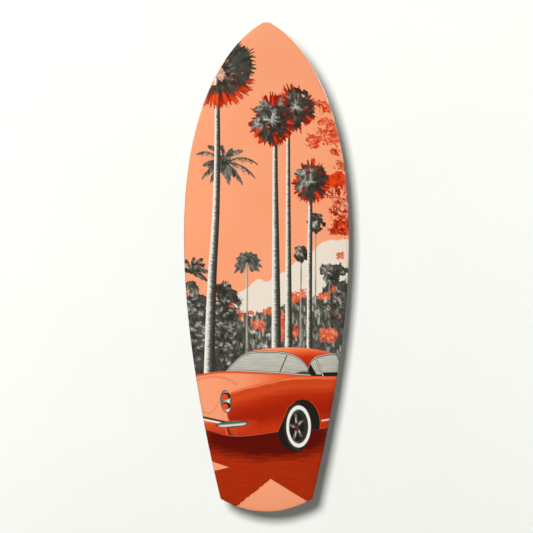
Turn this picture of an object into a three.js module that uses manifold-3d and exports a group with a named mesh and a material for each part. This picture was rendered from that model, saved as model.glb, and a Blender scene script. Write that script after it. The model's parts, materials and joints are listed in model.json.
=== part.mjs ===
// A short, wide-tailed surfboard, standing nose up. Millimetres, +X across, +Z towards the nose.
// The deck faces -Y and the bottom, with its three fins, faces +Y. The origin is on the bottom's
// flat spot, halfway along the board.

import * as THREE from 'three';
import { mergeVertices } from 'three/addons/utils/BufferGeometryUtils.js';
import Module from 'manifold-3d';

const wasm = await Module();
wasm.setup();

// Outline
const length = 1626;
const halfWidth = 276.2;
const widePoint = 107;             // height of the widest point above the middle
const noseRadius = 39;
const noseJoin = [19.9, 807];      // where the nose's blunt arc meets the side
const noseHandles = [[276.2, 527], [140.4, 736]];
const tailCorner = [153, -770];
const tailHandles = [[276.2, -177], [224.1, -482]];
const tipSteps = 3;                // straight pieces in the nose's arc, and in each half of the tail's
const noseSteps = 10;
const sideSteps = 9;
const noseFan = 690;               // above this height the cross-sections fan out of one point
const tailFan = -640;              // and below this one

// Rocker, the lengthwise curve, and thickness
const flatRun = 112;               // the bottom is dead flat this far each side of the middle
const noseLift = 110;
const tailLift = 46;
const rockerPower = 2.3;
const middleThickness = 60;
const noseThickness = 12;
const tailThickness = 20;

// Cross-section
const apexShare = 0.36;            // the rail's widest line, as a share of the thickness
const domePower = 2.4;             // how flat the deck is across
const flatShare = 0.62;            // share of the half width over which the bottom is flat

// Layers, each lying under the one before with a hair of room
const skin = 0.9;
const laminate = 1.2;
const layerRoom = 0.5;             // between one layer and the next
const room = 0.3;                  // round each plug, and beside the stringer
const laminateInset = skin + layerRoom;
const foamInset = laminateInset + laminate + layerRoom;
const deckAngles = [0, 0.5, 0.85, 1.1, 1.28, 1.43];
const underAngles = [1.25, 0.95, 0.6];   // the topsheet's seam, the laminate's lap, and one inside
const bottomShares = [0.62, 0.3, 0];
const slit = 0.05;                       // angle left open at the seam and the lap
const stringerWidth = 4;

// Fins: the base is the length along the board, and the tabs are what the plugs hold
const finBase = 110;
const finDepth = 114;
const finSweep = 66;
const finThickness = 6.4;
const finLift = 0.8;               // the gap between a fin's base and the board's skin
const tab = { length: 20, width: 6, depth: 14, offset: 33, radius: 2 };
const plug = { length: 29, low: -7, high: 18, depth: 17, radius: 6 };
const slot = { length: 20.8, width: 6.7, depth: 14.6, radius: 2.2 };
const grub = { radius: 2.5, length: 7.2, start: 11, sink: 2.3, lean: 0.604 };
const hex = { radius: 1.45, depth: 2.6 };
const grubRoom = 0.35;
const cutAbove = 8;                // how far the plugs' cuts run out past the board's bottom
const boreLength = 24;
const foil = [1.48, -0.63, -1.76, 1.42, -0.51];   // a fin section's half thickness along its chord
const foilEdge = 0.35;
const fins = {
  centre: { x: 0, z: -669, toe: 0, cant: 0, flat: false, side: 1 },
  left: { x: -176, z: -479, toe: 0.055, cant: -0.105, flat: true, side: -1 },
  right: { x: 176, z: -479, toe: -0.055, cant: 0.105, flat: true, side: 1 },
};

const colours = {
  topsheet: { color: 0xf2a37c, roughness: 0.3, metalness: 0 },
  bottom: { color: 0xefe6d8, roughness: 0.3, metalness: 0 },
  laminate: { color: 0xdfe3d6, roughness: 0.35, metalness: 0 },
  foam: { color: 0xf6f3e8, roughness: 0.85, metalness: 0 },
  wood: { color: 0xb98a5a, roughness: 0.7, metalness: 0 },
  fin: { color: 0x2f2d29, roughness: 0.35, metalness: 0 },
  plug: { color: 0xe9e4da, roughness: 0.5, metalness: 0 },
  steel: { color: 0xb9bcc0, roughness: 0.3, metalness: 1 },
};

const board = new THREE.Group();

function addPart(name, geometry, look) {
  const mesh = new THREE.Mesh(geometry, new THREE.MeshStandardMaterial(colours[look]));
  mesh.name = name;
  board.add(mesh);
}

// ---- closed meshes, joined and cut as solids ----

function solidOf(geometry) {
  const bare = geometry.clone();
  bare.deleteAttribute('normal');
  bare.deleteAttribute('uv');
  const merged = mergeVertices(bare, 1e-4);
  const vertProperties = new Float32Array(merged.attributes.position.array);
  const triVerts = new Uint32Array(merged.index.array);
  return new wasm.Manifold(new wasm.Mesh({ numProp: 3, vertProperties, triVerts }));
}

function geometryOf(solid) {
  const mesh = solid.getMesh();
  const geometry = new THREE.BufferGeometry();
  geometry.setAttribute('position', new THREE.BufferAttribute(new Float32Array(mesh.vertProperties), 3));
  geometry.setIndex(new THREE.BufferAttribute(new Uint32Array(mesh.triVerts), 1));
  geometry.computeVertexNormals();
  return geometry;
}

function cut(solid, tools) {
  return tools.reduce((left, tool) => left.subtract(tool), solid);
}

// ---- the board's own surface ----

// The right-hand half of the outline, from the nose's tip round to the middle of the tail.
function halfOutline() {
  const points = [];
  const push = (p) => points.push(new THREE.Vector2(p.x, p.y));
  const tipAngle = Math.asin(noseJoin[0] / noseRadius);
  for (let i = 0; i < tipSteps; i += 1) {
    const angle = (tipAngle * i) / tipSteps;
    const drop = noseRadius * (1 - Math.cos(angle));
    push({ x: noseRadius * Math.sin(angle), y: length / 2 - drop });
  }
  const corner = (p) => new THREE.Vector2(p[0], p[1]);
  const wide = new THREE.Vector2(halfWidth, widePoint);
  const nose = new THREE.CubicBezierCurve(corner(noseJoin), corner(noseHandles[1]), corner(noseHandles[0]), wide);
  nose.getPoints(noseSteps).slice(0, -1).forEach(push);
  const side = new THREE.CubicBezierCurve(wide, corner(tailHandles[0]), corner(tailHandles[1]), corner(tailCorner));
  side.getPoints(sideSteps).forEach(push);
  const sag = tailCorner[1] + length / 2;
  const tailRadius = (tailCorner[0] ** 2 + sag ** 2) / (2 * sag);
  const tailAngle = Math.asin(tailCorner[0] / tailRadius);
  for (let i = 1; i < tipSteps; i += 1) {
    const angle = tailAngle * (1 - i / tipSteps);
    push({ x: tailRadius * Math.sin(angle), y: tailRadius * (1 - Math.cos(angle)) - length / 2 });
  }
  push({ x: 0, y: -length / 2 });
  return points;
}

// The whole outline, moved in by a distance, as a closed loop.
function outline(inset) {
  const right = halfOutline();
  const left = right.slice(1, -1).reverse().map((p) => new THREE.Vector2(-p.x, p.y));
  const loop = [...right, ...left];
  return loop.map((p, i) => {
    const before = loop[(i + loop.length - 1) % loop.length];
    const after = loop[(i + 1) % loop.length];
    const a = p.clone().sub(before).normalize();
    const b = after.clone().sub(p).normalize();
    const inward = new THREE.Vector2(a.y + b.y, -a.x - b.x).normalize();
    const mitre = Math.max(Math.abs(inward.dot(new THREE.Vector2(a.y, -a.x))), 0.5);
    return p.clone().addScaledVector(inward, inset / mitre);
  });
}

function liftAt(z) {
  const past = Math.max(0, (Math.abs(z) - flatRun) / (length / 2 - flatRun));
  return (z > 0 ? noseLift : tailLift) * past ** rockerPower;
}

function thicknessAt(z) {
  const share = Math.min(1, Math.abs(z) / (length / 2));
  const end = z > 0 ? noseThickness : tailThickness;
  const power = z > 0 ? 2 : 2.6;
  return middleThickness - (middleThickness - end) * share ** power;
}

// A cross-section is a run of rings, from the deck's centre over the rail to the bottom's centre.
// Each has its share of the half width and its height: below says how far it is from the bottom to
// the rail's apex, and above how far from the apex to the top of the deck.
const deckRing = (angle) => ({ share: Math.sin(angle) ** (2 / domePower), below: 1, above: Math.cos(angle) });
const underRing = (angle) => ({
  share: flatShare + (1 - flatShare) * Math.sqrt(Math.sin(angle)), below: 1 - Math.cos(angle), above: 0,
});
const deckRings = [...deckAngles.map(deckRing), { share: 1, below: 1, above: 0 }];
const flatRings = bottomShares.map((share) => ({ share, below: 0, above: 0 }));

function surfacePoint(edge, ring, inset) {
  const hub = new THREE.Vector2(0, THREE.MathUtils.clamp(edge.y, tailFan, noseFan));
  const p = hub.lerp(edge, ring.share);
  const apex = apexShare * thicknessAt(p.y) - inset;
  const dome = (1 - apexShare) * thicknessAt(p.y) - inset;
  const height = apex * ring.below + dome * ring.above;
  return new THREE.Vector3(p.x, -liftAt(p.y) - inset - height, p.y);
}

// Rings of the surface at one depth below the outer skin.
function grid(rings, inset) {
  const loop = outline(inset);
  return rings.map((ring) => loop.map((edge) => surfacePoint(edge, ring, inset)));
}

// Rows of points, each a loop, skinned into one closed surface. The faces on the two halves of a
// loop are mirror images of each other.
function closedGeometry(rows) {
  const count = rows[0].length;
  const geometry = new THREE.BufferGeometry().setFromPoints(rows.flat());
  const index = [];
  for (let j = 0; j < rows.length - 1; j += 1) {
    for (let i = 0; i < count; i += 1) {
      const next = (i + 1) % count;
      const [a, b] = [j * count + i, j * count + next];
      const [c, d] = [a + count, b + count];
      const faces = i < count / 2 ? [a, b, c, b, d, c] : [a, b, d, a, d, c];
      index.push(...faces);
    }
  }
  geometry.setIndex(index);
  return dropSlivers(mergeVertices(geometry, 1e-4));
}

// Where the sections fan out of one point, neighbouring corners coincide and their faces vanish.
function dropSlivers(geometry) {
  const kept = [];
  const index = geometry.index.array;
  for (let i = 0; i < index.length; i += 3) {
    const [a, b, c] = [index[i], index[i + 1], index[i + 2]];
    if (a !== b && b !== c && a !== c) kept.push(a, b, c);
  }
  geometry.setIndex(kept);
  return geometry;
}

function wholeBoard(inset) {
  const rings = [...deckRings, ...underAngles.map(underRing), ...flatRings];
  return solidOf(closedGeometry(grid(rings, inset)));
}

// The deck's shells go over the rail and end at a seam under it.
function deckShell(angles, outer, inner) {
  const rings = [...deckRings, ...angles.map(underRing)];
  return solidOf(closedGeometry([...grid(rings, outer), ...grid(rings, inner).reverse()]));
}

// The bottom's shells begin just past that seam.
function bottomShell(angles, outer, inner) {
  const rings = [...angles.map(underRing), ...flatRings];
  return solidOf(closedGeometry([...grid(rings, inner).reverse(), ...grid(rings, outer)]));
}

// ---- boxes and prisms in a fin's own frame: x along its base to the tail, y out, z across ----

function roundedPrism(lengthX, low, high, radius, bottom, top) {
  const shape = new THREE.Shape();
  const x = lengthX / 2;
  shape.moveTo(x - radius, low);
  shape.absarc(x - radius, low + radius, radius, -Math.PI / 2, 0, false);
  shape.absarc(x - radius, high - radius, radius, 0, Math.PI / 2, false);
  shape.absarc(-x + radius, high - radius, radius, Math.PI / 2, Math.PI, false);
  shape.absarc(-x + radius, low + radius, radius, Math.PI, Math.PI * 1.5, false);
  const prism = new THREE.ExtrudeGeometry(shape, { depth: top - bottom, bevelEnabled: false, curveSegments: 3 });
  prism.rotateX(Math.PI / 2);
  prism.translate(0, top, 0);
  return prism;
}

function finFrame(fin) {
  const step = 1;
  const slope = Math.atan2(liftAt(fin.z - step) - liftAt(fin.z + step), 2 * step);
  const tilt = new THREE.Matrix4().makeRotationX(-slope);
  const lean = new THREE.Matrix4().makeRotationZ(-fin.cant);
  const toe = new THREE.Matrix4().makeRotationY(fin.toe);
  const lay = new THREE.Matrix4().makeBasis(
    new THREE.Vector3(0, 0, -1), new THREE.Vector3(0, 1, 0), new THREE.Vector3(1, 0, 0),
  );
  const place = new THREE.Matrix4().makeTranslation(fin.x, -liftAt(fin.z), fin.z);
  return place.multiply(tilt).multiply(toe).multiply(lean).multiply(lay);
}

function placed(geometry, matrix) {
  return solidOf(geometry.clone().applyMatrix4(matrix));
}

// ---- fin, plug and grub screw ----

function foilSection(share, flat) {
  const points = 7;
  const depth = finLift + finDepth * share;
  const chord = finBase * (1 - share ** 1.7) ** 0.62 + 6 * share;
  const back = finBase / 2 + finSweep * share ** 1.5 - 10 * Math.sin(Math.PI * share);
  const front = back - chord;
  const thick = finThickness * (1 - 0.72 * share);
  const section = [];
  const at = (k, sign) => {
    const u = 0.5 - 0.5 * Math.cos((Math.PI * k) / points);
    const bulge = foil[0] * Math.sqrt(u) + foil[1] * u + foil[2] * u ** 2 + foil[3] * u ** 3 + foil[4] * u ** 4;
    const half = Math.max(foilEdge, thick * bulge);
    const offset = flat ? (sign > 0 ? 2 * half - thick / 2 : -thick / 2) : sign * half;
    return new THREE.Vector3(front + chord * u, depth, offset);
  };
  for (let k = 0; k <= points; k += 1) section.push(at(k, 1));
  for (let k = points; k >= 0; k -= 1) section.push(at(k, -1));
  return section;
}

function bladeGeometry(flat) {
  const shares = [0, 0.15, 0.32, 0.5, 0.66, 0.8, 0.91, 0.98];
  const rows = shares.map((share) => foilSection(share, flat));
  return closedGeometry([middleLine(rows[0]), ...rows, middleLine(rows[rows.length - 1])]);
}

// A section's camber line, run there and back, which closes the blade's ends. Each point is evened
// out with its neighbours, so that the line stops short of the section's two edges.
function middleLine(section) {
  const last = section.length - 1;
  const middle = section.map((p, i) => p.clone().add(section[last - i]).multiplyScalar(0.5));
  return middle.map((p, i) => {
    const before = middle[(i + last) % (last + 1)];
    const after = middle[(i + 1) % (last + 1)];
    return p.clone().add(before).add(after).divideScalar(3);
  });
}

function finSolid(fin) {
  const matrix = finFrame(fin);
  const blade = bladeGeometry(fin.flat);
  if (fin.side < 0) blade.scale(1, 1, -1).setIndex([...blade.index.array].reverse());
  const tabs = [-tab.offset, tab.offset].map((x) => {
    const half = tab.width / 2;
    const prism = roundedPrism(tab.length, -half, half, tab.radius, -tab.depth, finLift + 2);
    return placed(prism.translate(x, 0, 0), matrix);
  });
  return tabs.reduce((whole, part) => whole.add(part), placed(blade, matrix));
}

// A grub screw leans in from beside the slot and stops just short of the tab.
function grubMatrix(fin, x) {
  const lean = new THREE.Matrix4().makeRotationX(fin.side * grub.lean);
  const start = new THREE.Matrix4().makeTranslation(x, 0, fin.side * grub.start);
  return finFrame(fin).multiply(start).multiply(lean);
}

function grubSolid(fin, x) {
  const matrix = grubMatrix(fin, x);
  const body = new THREE.CylinderGeometry(grub.radius, grub.radius, grub.length, 12);
  body.translate(0, -grub.sink - grub.length / 2, 0);
  const socket = new THREE.CylinderGeometry(hex.radius, hex.radius, hex.depth * 2, 6);
  socket.translate(0, -grub.sink, 0);
  return placed(body, matrix).subtract(placed(socket, matrix));
}

function plugOutline(fin, x, margin) {
  const low = fin.side > 0 ? plug.low : -plug.high;
  const high = fin.side > 0 ? plug.high : -plug.low;
  const wide = plug.length + 2 * margin;
  const corner = plug.radius + margin;
  const prism = roundedPrism(wide, low - margin, high + margin, corner, -plug.depth - margin, cutAbove);
  return placed(prism.translate(x, 0, 0), finFrame(fin));
}

function plugSolid(fin, x, outer) {
  const half = slot.width / 2;
  const groove = roundedPrism(slot.length, -half, half, slot.radius, -slot.depth, cutAbove).translate(x, 0, 0);
  const boreRadius = grub.radius + grubRoom;
  const bore = new THREE.CylinderGeometry(boreRadius, boreRadius, boreLength, 12);
  const matrix = grubMatrix(fin, x);
  bore.translate(0, boreLength / 2 - grub.sink - grub.length - grubRoom, 0);
  const body = plugOutline(fin, x, 0).intersect(outer);
  return cut(body, [placed(groove, finFrame(fin)), placed(bore, matrix)]);
}

// ---- the assembly ----

const outer = wholeBoard(0);
const pockets = Object.values(fins).flatMap((fin) => (
  [-tab.offset, tab.offset].map((x) => plugOutline(fin, x, room))
));

// A block between two planes across the board, larger than the board every other way.
function slab(low, high) {
  const box = new THREE.BoxGeometry(high - low, length, length * 2);
  return solidOf(box.translate((low + high) / 2, 0, 0));
}

function addShells() {
  const [seam, lap, inside] = underAngles;
  addPart('deck_topsheet', geometryOf(deckShell([seam], 0, skin)), 'topsheet');
  const sheet = cut(bottomShell([seam - slit, lap, inside], 0, skin), pockets);
  addPart('bottom_sheet', geometryOf(sheet), 'bottom');
  const inner = laminateInset + laminate;
  addPart('deck_laminate', geometryOf(deckShell([seam, lap], laminateInset, inner)), 'laminate');
  const glass = cut(bottomShell([lap - slit, inside], laminateInset, inner), pockets);
  addPart('bottom_laminate', geometryOf(glass), 'laminate');
}

function addCore() {
  const core = cut(wholeBoard(foamInset), pockets);
  const half = stringerWidth / 2;
  addPart('blank_left', geometryOf(core.intersect(slab(-length, -half - room))), 'foam');
  addPart('blank_right', geometryOf(core.intersect(slab(half + room, length))), 'foam');
  addPart('stringer', geometryOf(core.intersect(slab(-half, half))), 'wood');
}

function addFins() {
  for (const [name, fin] of Object.entries(fins)) {
    addPart(`fin_${name}`, geometryOf(finSolid(fin)), 'fin');
    for (const [end, x] of [['front', -tab.offset], ['rear', tab.offset]]) {
      addPart(`plug_${name}_${end}`, geometryOf(plugSolid(fin, x, outer)), 'plug');
      addPart(`grub_${name}_${end}`, geometryOf(grubSolid(fin, x)), 'steel');
    }
  }
}

addShells();
addCore();
addFins();

export default board;
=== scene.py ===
import json
import math
import random

import bmesh
import bpy
import numpy as np
from mathutils import Matrix, Vector

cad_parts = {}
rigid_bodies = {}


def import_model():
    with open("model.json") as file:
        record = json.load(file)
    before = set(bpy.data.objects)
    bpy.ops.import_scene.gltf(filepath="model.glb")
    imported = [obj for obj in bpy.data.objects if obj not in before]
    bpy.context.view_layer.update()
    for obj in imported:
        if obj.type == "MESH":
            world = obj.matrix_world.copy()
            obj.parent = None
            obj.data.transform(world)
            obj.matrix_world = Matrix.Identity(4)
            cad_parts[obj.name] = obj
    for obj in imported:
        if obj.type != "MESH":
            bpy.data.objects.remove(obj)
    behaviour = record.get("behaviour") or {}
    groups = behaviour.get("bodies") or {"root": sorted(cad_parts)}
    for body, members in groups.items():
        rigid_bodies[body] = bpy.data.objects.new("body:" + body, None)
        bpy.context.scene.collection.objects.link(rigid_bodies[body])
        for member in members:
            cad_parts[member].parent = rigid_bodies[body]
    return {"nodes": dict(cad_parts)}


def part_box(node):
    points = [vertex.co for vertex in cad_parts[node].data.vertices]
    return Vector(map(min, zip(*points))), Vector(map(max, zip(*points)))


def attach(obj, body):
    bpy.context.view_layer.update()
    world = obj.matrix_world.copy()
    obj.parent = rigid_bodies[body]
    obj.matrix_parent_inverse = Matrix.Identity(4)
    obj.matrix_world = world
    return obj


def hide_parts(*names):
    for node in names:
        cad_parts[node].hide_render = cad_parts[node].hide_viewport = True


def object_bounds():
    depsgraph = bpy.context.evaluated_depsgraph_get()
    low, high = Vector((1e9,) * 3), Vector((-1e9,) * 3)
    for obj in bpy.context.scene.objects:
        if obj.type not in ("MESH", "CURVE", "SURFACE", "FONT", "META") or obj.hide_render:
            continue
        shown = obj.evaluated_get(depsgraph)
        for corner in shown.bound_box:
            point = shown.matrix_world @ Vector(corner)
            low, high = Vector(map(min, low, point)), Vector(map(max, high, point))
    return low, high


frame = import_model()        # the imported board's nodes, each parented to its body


def plainBox(bounds):
    return [[float(v) for v in corner] for corner in bounds]


cadBox = plainBox(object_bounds())
mm = 0.001

topLow, topHigh = [Vector(c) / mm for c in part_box("deck_topsheet")]

board = {                                   # millimetres, in the frame's own axes
    "length": topHigh.z - topLow.z,
    "halfWidth": (topHigh.x - topLow.x) / 2,
    "widePoint": 107,                       # height of the widest point above the middle
    "noseRadius": 39, "noseJoin": (19.9, 807),
    "noseHandles": ((276.2, 527), (140.4, 736)),
    "tailCorner": (153, -770), "tailHandles": ((276.2, -177), (224.1, -482)),
    "noseFan": 690, "tailFan": -640,        # past these the sections fan out of one point
    "flatRun": 112, "noseLift": 110, "tailLift": 46, "rockerPower": 2.3,
    "middleThickness": 60, "noseThickness": 12, "tailThickness": 20,
    "apexShare": 0.36, "domePower": 2.4, "flatShare": 0.62,
    "domeEdge": 0.93,                       # share of the half width where the deck starts to fall
    "skin": 0.9, "seam": 1.25, "slit": 0.05,
}
# the topsheet's own points carry the leaves' colours, so they are close together
meshStep = {"outline": 3.5, "deck": 3.55, "bottomOutline": 9}


def bezier(start, handleA, handleB, end, step):
    t = np.linspace(0, 1, 400)[:, None]
    p = [np.array(v, float) for v in (start, handleA, handleB, end)]
    curve = (1 - t) ** 3 * p[0] + 3 * (1 - t) ** 2 * t * p[1] + 3 * (1 - t) * t ** 2 * p[2] + t ** 3 * p[3]
    return evenly(curve, step)


def evenly(curve, step):                    # the same curve in equal steps, without its last point
    gaps = np.hypot(*np.diff(curve, axis=0).T)
    run = np.concatenate([[0], np.cumsum(gaps)])
    count = max(2, int(round(run[-1] / step)))
    at = np.linspace(0, run[-1], count + 1)[:-1]
    return np.stack([np.interp(at, run, curve[:, k]) for k in (0, 1)], axis=1)


def arc(radius, startAngle, endAngle, centreZ, sign, step):
    a = np.linspace(startAngle, endAngle, 200)
    return evenly(np.stack([radius * np.sin(a), centreZ + sign * radius * np.cos(a)], axis=1), step)


def outline(step):
    b = board
    half = b["length"] / 2
    tip = math.asin(b["noseJoin"][0] / b["noseRadius"])
    sag = b["tailCorner"][1] + half
    tailRadius = (b["tailCorner"][0] ** 2 + sag ** 2) / (2 * sag)
    tailAngle = math.asin(b["tailCorner"][0] / tailRadius)
    wide = (b["halfWidth"], b["widePoint"])
    right = np.concatenate([
        arc(b["noseRadius"], 0, tip, half - b["noseRadius"], 1, step),
        bezier(b["noseJoin"], b["noseHandles"][1], b["noseHandles"][0], wide, step),
        bezier(wide, b["tailHandles"][0], b["tailHandles"][1], b["tailCorner"], step),
        arc(tailRadius, tailAngle, 0, tailRadius - half, -1, step),
        [[0, -half]],
    ])
    left = right[1:-1][::-1] * [-1, 1]
    return np.concatenate([right, left])


def movedIn(loop, inset):
    a = loop - np.roll(loop, 1, axis=0)
    a /= np.linalg.norm(a, axis=1)[:, None]
    b = np.roll(a, -1, axis=0)
    inward = np.stack([a[:, 1] + b[:, 1], -a[:, 0] - b[:, 0]], axis=1)
    inward /= np.linalg.norm(inward, axis=1)[:, None]
    mitre = np.abs(inward[:, 0] * a[:, 1] - inward[:, 1] * a[:, 0])
    return loop + inward * (inset / np.maximum(mitre, 0.5))[:, None]


def liftAt(z):
    past = np.maximum(0, (np.abs(z) - board["flatRun"]) / (board["length"] / 2 - board["flatRun"]))
    return np.where(z > 0, board["noseLift"], board["tailLift"]) * past ** board["rockerPower"]


def thicknessAt(z):
    share = np.minimum(1, np.abs(z) / (board["length"] / 2))
    end = np.where(z > 0, board["noseThickness"], board["tailThickness"])
    return board["middleThickness"] - (board["middleThickness"] - end) * share ** np.where(z > 0, 2, 2.6)


def deckRing(angle):                        # share of the half width, height below and above the apex
    return math.sin(angle) ** (2 / board["domePower"]), 1, math.cos(angle)


def underRing(angle):
    share = board["flatShare"] + (1 - board["flatShare"]) * math.sqrt(math.sin(angle))
    return share, 1 - math.cos(angle), 0


def surfaceRow(loop, ring, inset):
    share, below, above = ring
    hub = np.clip(loop[:, 1], board["tailFan"], board["noseFan"])
    x = loop[:, 0] * share
    z = hub + (loop[:, 1] - hub) * share
    thickness = thicknessAt(z)
    apex = board["apexShare"] * thickness - inset
    dome = (1 - board["apexShare"]) * thickness - inset
    return np.stack([x, -liftAt(z) - inset - apex * below - dome * above, z], axis=1)


def skinned(name, rows):                    # rows of points, each a loop, closed where they fold
    count = len(rows[0])
    points = np.concatenate(rows) * mm
    j, i = np.meshgrid(np.arange(len(rows) - 1), np.arange(count), indexing="ij")
    a = (j * count + i).ravel()
    b = (j * count + (i + 1) % count).ravel()
    quads = np.stack([a, b, b + count, a + count], axis=1)
    mesh = bpy.data.meshes.new(name)
    mesh.from_pydata(points.tolist(), [], quads.tolist())
    bm = bmesh.new()
    bm.from_mesh(mesh)
    bmesh.ops.remove_doubles(bm, verts=bm.verts, dist=4e-7)
    bmesh.ops.recalc_face_normals(bm, faces=bm.faces)
    for face in bm.faces:
        face.smooth = True
    bm.to_mesh(mesh)
    bm.free()
    return placedObject(name, mesh)


def placedObject(name, mesh):
    made = bpy.data.objects.new(name, mesh)
    bpy.context.scene.collection.objects.link(made)
    return made


def carve(piece, tools, operation="DIFFERENCE"):
    for tool in tools:
        step = piece.modifiers.new("carve", "BOOLEAN")
        step.operation = operation
        step.solver = "EXACT"
        step.object = tool
    settle(piece)
    for tool in tools:
        bpy.data.objects.remove(tool)


def settle(piece):                          # live modifiers become the mesh itself
    graph = bpy.context.evaluated_depsgraph_get()
    graph.update()
    finished = bpy.data.meshes.new_from_object(piece.evaluated_get(graph), depsgraph=graph)
    piece.modifiers.clear()
    piece.data = finished


class Wire:                                 # a socket that can take part in a sum
    def __init__(self, paint, socket):
        self.paint, self.socket = paint, socket

    def __add__(self, other):
        return self.paint.sum("ADD", self, other)

    def __sub__(self, other):
        return self.paint.sum("SUBTRACT", self, other)

    def __rsub__(self, other):
        return self.paint.sum("SUBTRACT", other, self)

    def __mul__(self, other):
        return self.paint.sum("MULTIPLY", self, other)

    def __truediv__(self, other):
        return self.paint.sum("DIVIDE", self, other)

    def __abs__(self):
        return self.paint.sum("ABSOLUTE", self)

    __radd__ = __add__
    __rmul__ = __mul__


class Paint:                                # one material and its nodes
    def __init__(self, name):
        self.material = bpy.data.materials.new(name)
        self.material.use_nodes = True
        self.tree = self.material.node_tree
        self.tree.nodes.clear()

    def node(self, kind, settings=None, values=None, out=0):
        made = self.tree.nodes.new(kind)
        for key, value in (settings or {}).items():
            if key == "stops":
                self.setStops(made.color_ramp, value)
            elif key == "points":
                self.setPoints(made.mapping, value)
            else:
                setattr(made, key, value)
        for key, value in (values or {}).items():
            if isinstance(value, Wire):
                self.tree.links.new(value.socket, made.inputs[key])
            else:
                made.inputs[key].default_value = value
        return Wire(self, made.outputs[out]) if made.outputs else None

    def setStops(self, ramp, stops):
        while len(ramp.elements) < len(stops):
            ramp.elements.new(1)
        for element, (position, colour) in zip(ramp.elements, stops):
            element.position = position
            element.color = colour

    def setPoints(self, mapping, points):
        curve = mapping.curves[0]
        while len(curve.points) < len(points):
            curve.points.new(1, 1)
        for point, place in zip(curve.points, points):
            point.location = place
        mapping.update()

    def sum(self, operation, a, b=0.0, clamp=False):
        return self.node("ShaderNodeMath", {"operation": operation, "use_clamp": clamp}, {0: a, 1: b})

    def least(self, a, b):
        return self.sum("MINIMUM", a, b)

    def most(self, a, b):
        return self.sum("MAXIMUM", a, b)

    def ramp(self, factor, stops):
        return self.node("ShaderNodeValToRGB", {"stops": stops}, {"Fac": factor})

    def over(self, base, colour, mask):     # colour laid over base where mask is 1
        return self.node("ShaderNodeMix", {"data_type": "RGBA"}, {0: mask, 6: base, 7: colour}, 2)

    def inside(self, gap, soft=1.4):        # 1 where gap is negative, over a soft edge
        return self.sum("SUBTRACT", 0.5, gap / soft, clamp=True)

    def graph(self, value, points, low, high):  # a smooth curve through points, inside low to high
        first, last = points[0][0], points[-1][0]
        scaled = [((at - first) / (last - first), (height - low) / (high - low)) for at, height in points]
        place = self.sum("DIVIDE", value - first, last - first, clamp=True)
        return self.node("ShaderNodeFloatCurve", {"points": scaled}, {"Value": place}) * (high - low) + low

    def place(self):                        # x, y and z in millimetres
        spot = self.node("ShaderNodeTexCoord", out=3)
        parts = [self.node("ShaderNodeSeparateXYZ", values={0: spot}, out=k) for k in range(3)]
        return [part * 1000 for part in parts]

    def noise(self, scale, detail=2.0, stretch=(1, 1, 1), rough=0.5):
        spot = self.node("ShaderNodeTexCoord", out=3)
        spot = self.node("ShaderNodeMapping", values={"Vector": spot, "Scale": stretch})
        values = {"Vector": spot, "Scale": scale, "Detail": detail, "Roughness": rough}
        return self.node("ShaderNodeTexNoise", values=values)

    def bump(self, height, strength, distance):
        values = {"Height": height, "Strength": strength, "Distance": distance}
        return self.node("ShaderNodeBump", values=values)

    def finish(self, **values):
        values = {key.replace("_", " "): value for key, value in values.items()}
        shader = self.node("ShaderNodeBsdfPrincipled", values=values)
        self.node("ShaderNodeOutputMaterial", values={"Surface": shader})
        return self.material


def ink(red, green, blue):                  # a printer's colour as linear light
    values = [v / 255 for v in (red, green, blue)]
    return tuple(v / 12.92 if v <= 0.04045 else ((v + 0.055) / 1.055) ** 2.4 for v in values) + (1.0,)


inks = {
    "sky": ink(252, 163, 120), "cream": ink(239, 224, 207), "black": ink(30, 29, 24),
    "dark": ink(52, 50, 42), "shade": ink(78, 76, 67), "grey": ink(112, 111, 101),
    "pale": ink(168, 166, 154), "light": ink(214, 209, 196), "white": ink(243, 240, 230),
    "red": ink(238, 68, 18), "deepRed": ink(150, 26, 6), "flower": ink(228, 98, 60),
    "rust": ink(176, 44, 6), "paintRed": ink(205, 50, 12), "paintOrange": ink(232, 88, 44),
    "night": ink(86, 4, 0),
}
darkLeaf = ("black", "dark", "dark", "shade")
midLeaf = ("black", "shade", "grey", "dark")
litLeaf = ("dark", "grey", "light", "shade")

canvasStep = 2.0                            # millimetres between a sheet's points


def around(centre, angle, wide, high=None):
    return centre[0] + wide * math.cos(angle), centre[1] + (high or wide) * math.sin(angle)


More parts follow.
